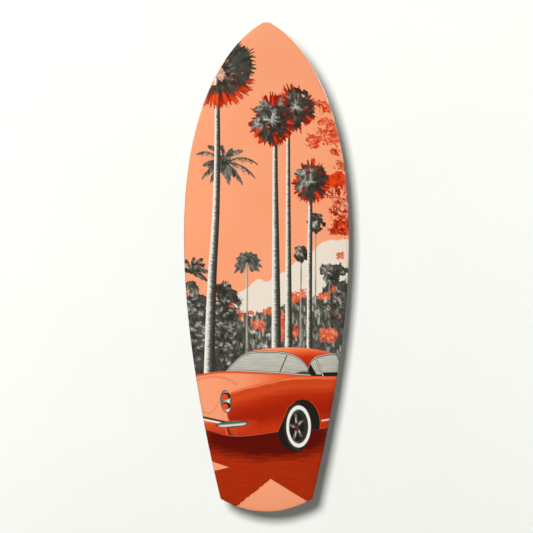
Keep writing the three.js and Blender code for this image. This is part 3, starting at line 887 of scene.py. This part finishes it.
def bottomGloss():
    paint = Paint("bottomGloss")
    x, _, _ = paint.place()
    cloud = paint.noise(5, 3.0)
    weave = paint.noise(900, 1.0, (1, 1, 0.2))
    colour = paint.ramp(cloud, [(0.3, ink(238, 231, 218)), (0.7, ink(243, 237, 226))])
    grain = paint.noise(40, 4.0, (8, 1, 0.4))
    grain = paint.ramp(grain, [(0.35, ink(150, 112, 74)), (0.65, ink(184, 142, 98))])
    colour = paint.over(colour, grain, paint.inside(abs(x) - 2.1, 0.6) * 0.8)
    peel = paint.bump(weave + paint.noise(240, 2.0), 0.05, 0.0004)
    return paint.finish(
        Base_Color=colour, Roughness=0.3, Specular_IOR_Level=0.35, Coat_Weight=0.5, Coat_Roughness=0.06,
        Normal=peel)


def finComposite():
    paint = Paint("finComposite")
    cloth = paint.node("ShaderNodeTexWave", {"wave_type": "BANDS", "bands_direction": "DIAGONAL"}, {
        "Scale": 190.0, "Distortion": 1.2, "Detail": 1.0, "Detail Scale": 3.0}, out=1)
    tint = paint.ramp(cloth * 0.5 + paint.noise(60, 3.0) * 0.5, [
        (0.3, ink(34, 33, 29)), (0.6, ink(58, 56, 49)), (0.85, ink(84, 82, 73))])
    return paint.finish(
        Base_Color=tint, Roughness=0.3, Coat_Weight=0.6, Coat_Roughness=0.05,
        Normal=paint.bump(cloth, 0.06, 0.0003))


def plugPlastic():
    paint = Paint("plugPlastic")
    tint = paint.ramp(paint.noise(120, 3.0), [(0.3, ink(214, 210, 200)), (0.7, ink(228, 224, 215))])
    grain = paint.bump(paint.noise(1400, 2.0), 0.12, 0.0002)
    return paint.finish(Base_Color=tint, Roughness=0.45, Normal=grain)


def screwSteel():
    paint = Paint("screwSteel")
    wear = paint.noise(700, 3.0)
    tint = paint.ramp(wear, [(0.3, ink(158, 160, 162)), (0.7, ink(204, 205, 207))])
    return paint.finish(Base_Color=tint, Metallic=1.0, Roughness=wear * 0.25 + 0.2)


def fibreglass():
    paint = Paint("fibreglass")
    cloth = paint.node("ShaderNodeTexChecker", values={"Scale": 700.0}, out=1)
    tint = paint.ramp(cloth * 0.3 + paint.noise(20, 3.0) * 0.7, [
        (0.3, ink(206, 212, 198)), (0.7, ink(226, 230, 218))])
    return paint.finish(Base_Color=tint, Roughness=0.4, Normal=paint.bump(cloth, 0.1, 0.0002))


def foamCore():
    paint = Paint("foamCore")
    cells = paint.node("ShaderNodeTexVoronoi", values={"Scale": 900.0}, out=0)
    tint = paint.ramp(cells, [(0.1, ink(232, 227, 212)), (0.7, ink(248, 245, 236))])
    return paint.finish(Base_Color=tint, Roughness=0.9, Normal=paint.bump(cells, 0.3, 0.0004))


def stringerWood():
    paint = Paint("stringerWood")
    grain = paint.noise(30, 5.0, (6, 6, 0.5), 0.6)
    tint = paint.ramp(grain, [
        (0.3, ink(150, 108, 66)), (0.55, ink(188, 144, 96)), (0.75, ink(206, 166, 118))])
    return paint.finish(Base_Color=tint, Roughness=0.65, Normal=paint.bump(grain, 0.2, 0.0004))


def studioPaper():
    paint = Paint("studioPaper")
    tint = paint.ramp(paint.noise(3, 2.0), [(0.3, ink(250, 250, 246)), (0.7, ink(253, 254, 250))])
    seen = paint.node("ShaderNodeLightPath")
    glow = paint.over((0.0, 0.0, 0.0, 1.0), tint, seen)
    return paint.finish(
        Base_Color=tint, Roughness=0.95, Specular_IOR_Level=0.0, Emission_Color=glow, Emission_Strength=0.62)


def own(piece, body, node, material):
    piece.data.materials.clear()
    piece.data.materials.append(material)
    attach(piece, body)
    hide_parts(node)


def sharedAngles(first, last, count):
    return [first + (last - first) * k / count for k in range(count + 1)]


def makeTopsheet():
    loop = outline(meshStep["outline"])
    edge = board["domeEdge"]
    turn = math.asin(edge ** (board["domePower"] / 2))
    flatCount = round(board["halfWidth"] * edge / meshStep["deck"])
    flat = [edge * k / flatCount for k in range(flatCount)]
    rings = [(share, 1, math.sqrt(1 - share ** board["domePower"])) for share in flat]
    rings += [deckRing(a) for a in sharedAngles(turn, math.pi / 2, 11)[:-1]] + [(1, 1, 0)]
    under = [underRing(a) for a in sharedAngles(math.pi / 2, board["seam"], 4)[1:]]
    outer = [surfaceRow(loop, ring, 0) for ring in rings + under]
    inset = movedIn(loop, board["skin"])
    sparse = [deckRing(a) for a in (0, 0.5, 0.85, 1.1, 1.28, 1.43)] + [(1, 1, 0), under[-1]]
    inner = [surfaceRow(inset, ring, board["skin"]) for ring in sparse[::-1]]
    piece = skinned("printedTopsheet", outer + inner)
    place = np.empty(len(piece.data.vertices) * 3)
    piece.data.vertices.foreach_get("co", place)
    place = place.reshape(-1, 3) / mm
    for name, sheet in (("growthBehind", paintBehind()), ("growthFront", paintFront())):
        layer = piece.data.attributes.new(name, "FLOAT_COLOR", "POINT")
        layer.data.foreach_set("color", sheet.sampled(place[:, 0], place[:, 2]).ravel())
    own(piece, "board", "deck_topsheet", printedDeck())
    print("topsheet", len(piece.data.polygons), "faces")
    return piece


fin = {"base": 110, "depth": 114, "sweep": 66, "thickness": 6.4, "lift": 0.8, "reach": 0.985,
       "rows": 36, "foilPoints": 26}
tab = {"length": 20, "width": 6, "depth": 14, "offset": 33, "radius": 2}
plug = {"length": 29, "low": -7, "high": 18, "depth": 17, "radius": 6}
slot = {"length": 20.8, "width": 6.7, "depth": 14.6, "radius": 2.2}
grub = {"radius": 2.5, "length": 7.2, "start": 11, "sink": 2.3, "lean": 0.604, "hex": 1.45, "hexDepth": 2.6,
        "bore": 2.85, "below": 0.35, "pitch": 0.8, "thread": 0.18}
room = 0.3                                  # left all round a plug, for its resin
fins = {
    "centre": {"x": 0, "z": -669, "toe": 0, "cant": 0, "flat": False, "side": 1},
    "left": {"x": -176, "z": -479, "toe": 0.055, "cant": -0.105, "flat": True, "side": -1},
    "right": {"x": 176, "z": -479, "toe": -0.055, "cant": 0.105, "flat": True, "side": 1},
}


def slopeAt(z):
    return math.atan2(liftAt(z - 1) - liftAt(z + 1), 2)


def finFrame(one):                          # x along the base to the tail, y out, z across
    lay = Matrix(((0, 0, 1, 0), (0, 1, 0, 0), (-1, 0, 0, 0), (0, 0, 0, 1)))
    place = Matrix.Translation((one["x"], -float(liftAt(one["z"])), one["z"]))
    tilt = Matrix.Rotation(-slopeAt(one["z"]), 4, "X")
    turn = Matrix.Rotation(one["toe"], 4, "Y") @ Matrix.Rotation(-one["cant"], 4, "Z")
    return place @ tilt @ turn @ lay


def grubFrame(one, x):
    start = Matrix.Translation((x, 0, one["side"] * grub["start"]))
    return finFrame(one) @ start @ Matrix.Rotation(one["side"] * grub["lean"], 4, "X")


def intoPlace(mesh, matrix):
    mesh.transform(Matrix.Scale(mm, 4) @ matrix)
    mesh.update()


def bladeMesh(name, flat, side):
    rows = []
    u = 0.5 - 0.5 * np.cos(np.pi * np.arange(fin["foilPoints"] + 1) / fin["foilPoints"])
    foil = 1.48 * np.sqrt(u) - 0.63 * u - 1.76 * u ** 2 + 1.42 * u ** 3 - 0.51 * u ** 4   # an aerofoil
    for k in range(fin["rows"] + 1):
        share = fin["reach"] * (1 - (1 - k / fin["rows"]) ** 1.25)
        tip = math.sqrt(max(0.02, 1 - max(0, (share - 0.93) / 0.056) ** 2))
        whole = fin["base"] * (1 - share ** 1.7) ** 0.62 + 6 * share
        chord = whole * tip
        back = fin["base"] / 2 + fin["sweep"] * share ** 1.5 - 10 * math.sin(math.pi * share)
        front = back - whole * 0.5 - chord * 0.5
        thick = fin["thickness"] * (1 - 0.72 * share) * tip
        half = np.maximum(0.3 * tip, thick * foil)
        upper = 2 * half - thick / 2 if flat else half
        lower = np.full_like(half, -thick / 2) if flat else -half
        ring = np.concatenate([np.stack([u, upper], 1), np.stack([u, lower], 1)[::-1]])
        depth = np.full(len(ring), fin["depth"] * share + fin["lift"])
        rows.append(np.stack([front + chord * ring[:, 0], depth, side * ring[:, 1]], axis=1))
    ends = []
    for row in (rows[0], rows[-1]):         # each end closes on its own middle line
        middle = (row + row[::-1]) / 2
        ends.append((middle + np.roll(middle, 1, axis=0) + np.roll(middle, -1, axis=0)) / 3)
    piece = skinned(name, [ends[0]] + rows + [ends[1]])
    piece.data.transform(Matrix.Scale(1 / mm, 4))
    return piece


def roundedRing(lengthX, low, high, radius, corner=6):
    ring = []
    x, zs = lengthX / 2 - radius, (low + radius, high - radius)
    for quarter, (cx, cz) in enumerate(((x, zs[0]), (x, zs[1]), (-x, zs[1]), (-x, zs[0]))):
        for k in range(corner + 1):
            a = math.pi / 2 * (quarter - 1 + k / corner)
            ring.append((cx + radius * math.cos(a), cz + radius * math.sin(a)))
    return ring


def prism(name, ring, bottom, top, shift=0.0):
    bm = bmesh.new()
    low = [bm.verts.new((x + shift, bottom, z)) for x, z in ring]
    face = bm.faces.new(low)
    made = bmesh.ops.extrude_face_region(bm, geom=[face])
    raised = [v for v in made["geom"] if isinstance(v, bmesh.types.BMVert)]
    bmesh.ops.translate(bm, verts=raised, vec=(0, top - bottom, 0))
    bmesh.ops.recalc_face_normals(bm, faces=bm.faces)
    mesh = bpy.data.meshes.new(name)
    bm.to_mesh(mesh)
    bm.free()
    return placedObject(name, mesh)


def makeFin(name, one, material):
    piece = bladeMesh("fin" + name.capitalize(), one["flat"], one["side"])
    tabs = []
    for x in (-tab["offset"], tab["offset"]):
        half = tab["width"] / 2
        ring = roundedRing(tab["length"], -half, half, tab["radius"])
        tabs.append(prism("tab", ring, -tab["depth"], fin["lift"] + 2, x))
    carve(piece, tabs, "UNION")
    intoPlace(piece.data, finFrame(one))
    shadeByAngle(piece)
    own(piece, "fin_" + name, "fin_" + name, material)


def shadeByAngle(piece, angle=0.6):
    bm = bmesh.new()
    bm.from_mesh(piece.data)
    for face in bm.faces:
        face.smooth = True
    for edge in bm.edges:
        edge.smooth = len(edge.link_faces) == 2 and edge.calc_face_angle(0) < angle
    bm.to_mesh(piece.data)
    bm.free()


def plugRing(one, margin):
    low, high = (plug["low"], plug["high"]) if one["side"] > 0 else (-plug["high"], -plug["low"])
    return roundedRing(plug["length"] + 2 * margin, low - margin, high + margin, plug["radius"] + margin)


class Steps:                                # a geometry node tree, with its inputs by name
    def __init__(self, name, inputs):
        self.tree = bpy.data.node_groups.new(name, "GeometryNodeTree")
        face = self.tree.interface
        face.new_socket("Geometry", in_out="OUTPUT", socket_type="NodeSocketGeometry")
        self.ids = {}
        for key in inputs + ("Material",):
            kind = "NodeSocketMaterial" if key == "Material" else "NodeSocketFloat"
            self.ids[key] = face.new_socket(key, in_out="INPUT", socket_type=kind).identifier
        self.given = self.tree.nodes.new("NodeGroupInput")

    def step(self, kind, settings=None, values=None, out=0):
        made = self.tree.nodes.new(kind)
        for key, value in (settings or {}).items():
            setattr(made, key, value)
        for key, value in (values or {}).items():
            for each in value if isinstance(value, list) else [value]:
                if isinstance(each, bpy.types.NodeSocket):
                    self.tree.links.new(each, made.inputs[key])
                else:
                    made.inputs[key].default_value = each
        return made.outputs[out]

    def input(self, name):
        return self.given.outputs[name]

    def sum(self, operation, a, b):
        return self.step("ShaderNodeMath", {"operation": operation}, {0: a, 1: b})

    def moved(self, shape, lean=0.0, **place):
        place = self.step("ShaderNodeCombineXYZ", values=place)
        lean = self.step("ShaderNodeCombineXYZ", values={"X": lean})
        return self.step("GeometryNodeTransform", values={
            "Geometry": shape, "Translation": place, "Rotation": lean})

    def rod(self, sides, radius, depth):
        return self.step("GeometryNodeMeshCylinder", values={
            "Vertices": sides, "Radius": radius, "Depth": depth})

    def finish(self, shape):
        shape = self.step("GeometryNodeRealizeInstances", values={"Geometry": shape})
        values = {"Geometry": shape, "Material": self.input("Material")}
        shape = self.step("GeometryNodeSetMaterial", values=values)
        end = self.tree.nodes.new("NodeGroupOutput")
        self.tree.links.new(shape, end.inputs[0])

    def build(self, name, values):          # a plain mesh made by the tree
        piece = placedObject(name, bpy.data.meshes.new(name))
        modifier = piece.modifiers.new(name, "NODES")
        modifier.node_group = self.tree
        for key, value in values.items():
            modifier[self.ids[key]] = value if key == "Material" else float(value)
        settle(piece)
        return piece


def grubSteps():
    s = Steps("grubScrew", ("Radius", "Length", "Hex Radius", "Hex Depth", "Pitch", "Thread"))
    long = s.input("Length")
    half = s.sum("MULTIPLY", long, 0.5)
    core = s.sum("SUBTRACT", s.input("Radius"), s.input("Thread"))
    shank = s.rod(48, core, long)
    key = s.rod(6, s.input("Hex Radius"), s.sum("MULTIPLY", s.input("Hex Depth"), 2.0))
    mouth = s.step("GeometryNodeMeshCone", values={
        "Vertices": 48, "Radius Top": s.sum("MULTIPLY", s.input("Hex Radius"), 1.35), "Radius Bottom": 0.4,
        "Depth": 0.9})
    cuts = [s.moved(key, Z=half), s.moved(mouth, Z=s.sum("SUBTRACT", half, 0.6))]
    shank = s.step("GeometryNodeMeshBoolean", {"operation": "DIFFERENCE"}, {0: shank, 1: cuts})
    run = s.sum("SUBTRACT", long, 1.0)
    coil = s.step("GeometryNodeCurveSpiral", values={
        "Resolution": 30, "Rotations": s.sum("DIVIDE", run, s.input("Pitch")), "Start Radius": core,
        "End Radius": core, "Height": run, "Reverse": False})
    coil = s.moved(coil, Z=s.sum("SUBTRACT", 0.5, half))
    ridge = s.step("GeometryNodeCurvePrimitiveCircle", values={"Resolution": 3, "Radius": s.input("Thread")})
    thread = s.step("GeometryNodeCurveToMesh", values={
        "Curve": coil, "Profile Curve": ridge, "Fill Caps": True})
    s.finish(s.step("GeometryNodeJoinGeometry", values={"Geometry": [shank, thread]}))
    return s


def plugSteps():
    s = Steps("finPlug", (
        "Length", "Width", "Depth", "Corner", "Shift", "Slot Length", "Slot Width", "Slot Depth",
        "Slot Corner", "Bore Radius", "Bore Start", "Bore Lean", "Bore Depth"))

    def block(name, shift, above):          # a rounded block, sunk to its depth
        long, wide, depth, corner = [s.input(name + key) for key in ("Length", "Width", "Depth", "Corner")]
        outline = s.step("GeometryNodeCurvePrimitiveQuadrilateral", values={"Width": long, "Height": wide})
        outline = s.step("GeometryNodeFilletCurve", {"mode": "POLY"}, {
            "Curve": outline, "Radius": corner, "Count": 7})
        flat = s.step("GeometryNodeFillCurve", {"mode": "NGONS"}, {"Curve": outline})
        rise = s.step("ShaderNodeCombineXYZ", values={"Z": s.sum("ADD", depth, above)})
        body = s.step("GeometryNodeExtrudeMesh", values={"Mesh": flat, "Offset": rise, "Individual": False})
        under = s.step("GeometryNodeFlipFaces", values={"Mesh": flat})
        whole = s.step("GeometryNodeJoinGeometry", values={"Geometry": [body, under]})
        whole = s.step("GeometryNodeMergeByDistance", values={"Geometry": whole, "Distance": 0.001})
        return s.moved(whole, Y=shift, Z=s.sum("MULTIPLY", depth, -1.0))

    body, groove = block("", s.input("Shift"), 5.0), block("Slot ", 0.0, 9.0)
    bore = s.moved(s.rod(40, s.input("Bore Radius"), 24.0), Z=s.sum("SUBTRACT", 12.0, s.input("Bore Depth")))
    bore = s.moved(bore, s.input("Bore Lean"), Y=s.input("Bore Start"))
    s.finish(s.step("GeometryNodeMeshBoolean", {"operation": "DIFFERENCE"}, {0: body, 1: [groove, bore]}))
    return s


upright = Matrix.Rotation(-math.pi / 2, 4, "X")     # the trees build upwards along z; a fin's frame has y out


def makeHull():                             # the whole board as one solid, to plane the plugs flush
    loop = outline(meshStep["bottomOutline"])
    rings = [deckRing(a) for a in (0, 0.6, 1.1)] + [(1, 1, 0)]
    rings += [underRing(a) for a in sharedAngles(board["seam"], 0.04, 9)]
    rings += [(share, 0, 0) for share in (0.62, 0.3, 0)]
    return skinned("hull", [surfaceRow(loop, ring, 0) for ring in rings])


def makePlug(tree, hull, name, end, one, x, material):
    side, middle = one["side"], (plug["high"] + plug["low"]) / 2
    piece = tree.build("plug" + name.capitalize() + end.capitalize(), {
        "Length": plug["length"], "Width": plug["high"] - plug["low"], "Depth": plug["depth"],
        "Corner": plug["radius"], "Shift": -side * middle,
        "Slot Length": slot["length"], "Slot Width": slot["width"], "Slot Depth": slot["depth"],
        "Slot Corner": slot["radius"], "Bore Radius": grub["bore"], "Bore Start": -side * grub["start"],
        "Bore Lean": side * grub["lean"], "Bore Depth": grub["sink"] + grub["length"] + grub["below"],
        "Material": material})
    intoPlace(piece.data, finFrame(one) @ Matrix.Translation((x, 0, 0)) @ upright)
    carve(piece, [placedObject("hull", hull.data)], "INTERSECT")
    shadeByAngle(piece)
    own(piece, "board", f"plug_{name}_{end}", material)


def makeGrub(tree, name, end, one, x, material):
    piece = tree.build("grub" + name.capitalize() + end.capitalize(), {
        "Radius": grub["radius"], "Length": grub["length"], "Hex Radius": grub["hex"],
        "Hex Depth": grub["hexDepth"], "Pitch": grub["pitch"], "Thread": grub["thread"],
        "Material": material})
    middle = Matrix.Translation((0, -grub["sink"] - grub["length"] / 2, 0))
    intoPlace(piece.data, grubFrame(one, x) @ middle @ upright)
    shadeByAngle(piece)
    node = f"grub_{name}_{end}"
    own(piece, node, node, material)


def makeFittings():
    finLook, plugLook, steel = finComposite(), plugPlastic(), screwSteel()
    plugTree, grubTree, hull = plugSteps(), grubSteps(), makeHull()
    for name, one in fins.items():
        makeFin(name, one, finLook)
        for end, x in (("front", -tab["offset"]), ("rear", tab["offset"])):
            makePlug(plugTree, hull, name, end, one, x, plugLook)
            makeGrub(grubTree, name, end, one, x, steel)
    bpy.data.objects.remove(hull)
    print("fins, plugs and grub screws made")


def makeBottom():
    loop = outline(meshStep["bottomOutline"])
    inset = movedIn(loop, board["skin"])
    angles = sharedAngles(board["seam"] - board["slit"], 0.04, 9)
    rings = [underRing(a) for a in angles] + [(s, 0, 0) for s in (0.62, 0.5, 0.36, 0.22, 0.1, 0)]
    inner = [surfaceRow(inset, ring, board["skin"]) for ring in rings[::-1]]
    outer = [surfaceRow(loop, ring, 0) for ring in rings]
    piece = skinned("bottomSkin", inner + outer)
    tools = []
    for one in fins.values():
        for x in (-tab["offset"], tab["offset"]):
            tool = prism("pocket", plugRing(one, room), -8, 6, x)
            intoPlace(tool.data, finFrame(one))
            tools.append(tool)
    carve(piece, tools)
    shadeByAngle(piece)
    own(piece, "board", "bottom_sheet", bottomGloss())
    print("bottom", len(piece.data.polygons), "faces")


def dressCore():                            # the layers inside keep their own shapes
    resin, foam, wood = fibreglass(), foamCore(), stringerWood()
    for node, look in (("deck_laminate", resin), ("bottom_laminate", resin), ("blank_left", foam),
                       ("blank_right", foam), ("stringer", wood)):
        inner = frame["nodes"][node]
        inner.data.materials.clear()
        inner.data.materials.append(look)
    print("laminates, foam and stringer dressed")


studio = {
    "lens": 200, "frameHeight": 1.777, "deckFront": 0.05, "eyeHeight": 0.004, "wallGap": 0.025,
    "floorGap": 0.11,
    "floorHalf": 12, "wallHalf": 2.4, "wallTop": 2.4, "worldFill": 0.1,
}
lamps = {                                   # place, width, power, whether it shows in reflections
    "key": ((-1.85, -10.2, 2.1), 2.05, 965, False),
    "left": ((-4.6, -0.9, 2.0), 2.0, 55, True),
    "right": ((4.6, -0.7, 1.4), 2.0, 55, True),
    "rear": ((2.2, 4.4, 2.6), 2.6, 300, True),
}


def makeStudio():
    camera = bpy.data.cameras.new("camera")
    camera.lens = studio["lens"]
    camera.sensor_width = 36                # millimetres, like the lens
    eye = bpy.data.objects.new("camera", camera)
    bpy.context.scene.collection.objects.link(eye)
    away = studio["frameHeight"] * studio["lens"] / camera.sensor_width
    eye.location = (0, -away - studio["deckFront"], studio["eyeHeight"])
    eye.rotation_euler = (math.pi / 2, 0, 0)
    bpy.context.scene.camera = eye
    for name, (place, size, power, mirrored) in lamps.items():
        lamp = bpy.data.lights.new(name, "AREA")
        lamp.size = size
        lamp.energy = power
        lamp.cycles.max_bounces = 0         # no second bounce, so the print stays even
        light = bpy.data.objects.new(name, lamp)
        light.location = place
        light.rotation_euler = (-Vector(place)).to_track_quat("-Z", "Y").to_euler()
        light.visible_glossy = mirrored
        bpy.context.scene.collection.objects.link(light)
    bpy.context.scene.view_settings.view_transform = "Standard"
    makeWorld()
    low, back = cadBox[0][2] - studio["floorGap"], cadBox[1][1] + studio["wallGap"]
    half, wide, top = studio["floorHalf"], studio["wallHalf"], studio["wallTop"]
    floor = [(-half, -half, low), (half, -half, low), (half, half, low), (-half, half, low)]
    wall = [(-wide, back, low), (wide, back, low), (wide, back, top), (-wide, back, top)]
    stage("floor", floor, studioPaper())
    stage("wall", wall, wallPaper())
    print("studio set")


def makeWorld():
    world = bpy.data.worlds.new("studio")
    bpy.context.scene.world = world
    world.use_nodes = True
    tree = world.node_tree
    tree.nodes["Background"].inputs["Color"].default_value = ink(254, 255, 250)
    rays = tree.nodes.new("ShaderNodeLightPath")
    strength = tree.nodes.new("ShaderNodeMapRange")
    strength.inputs["To Min"].default_value = studio["worldFill"]
    strength.inputs["To Max"].default_value = 1.0
    tree.links.new(rays.outputs["Is Camera Ray"], strength.inputs["Value"])
    tree.links.new(strength.outputs[0], tree.nodes["Background"].inputs["Strength"])


def wallPaper():                            # a wall on its front, and nothing at all from behind
    paint = Paint("wallPaper")
    tint = paint.ramp(paint.noise(3, 2.0), [(0.3, ink(253, 254, 248)), (0.7, ink(255, 255, 250))])
    front = paint.node("ShaderNodeBsdfDiffuse", values={"Color": tint})
    clear = paint.node("ShaderNodeBsdfTransparent")
    behind = paint.node("ShaderNodeNewGeometry", out=6)
    shader = paint.node("ShaderNodeMixShader", values={0: behind, 1: front, 2: clear})
    paint.node("ShaderNodeOutputMaterial", values={"Surface": shader})
    return paint.material


def stage(name, corners, material):
    mesh = bpy.data.meshes.new(name)
    mesh.from_pydata(corners, [], [(0, 1, 2, 3)])
    mesh.materials.append(material)
    made = placedObject(name, mesh)
    made.visible_glossy = False
    made.visible_shadow = False


makeStudio()
makeTopsheet()
makeBottom()
makeFittings()
dressCore()
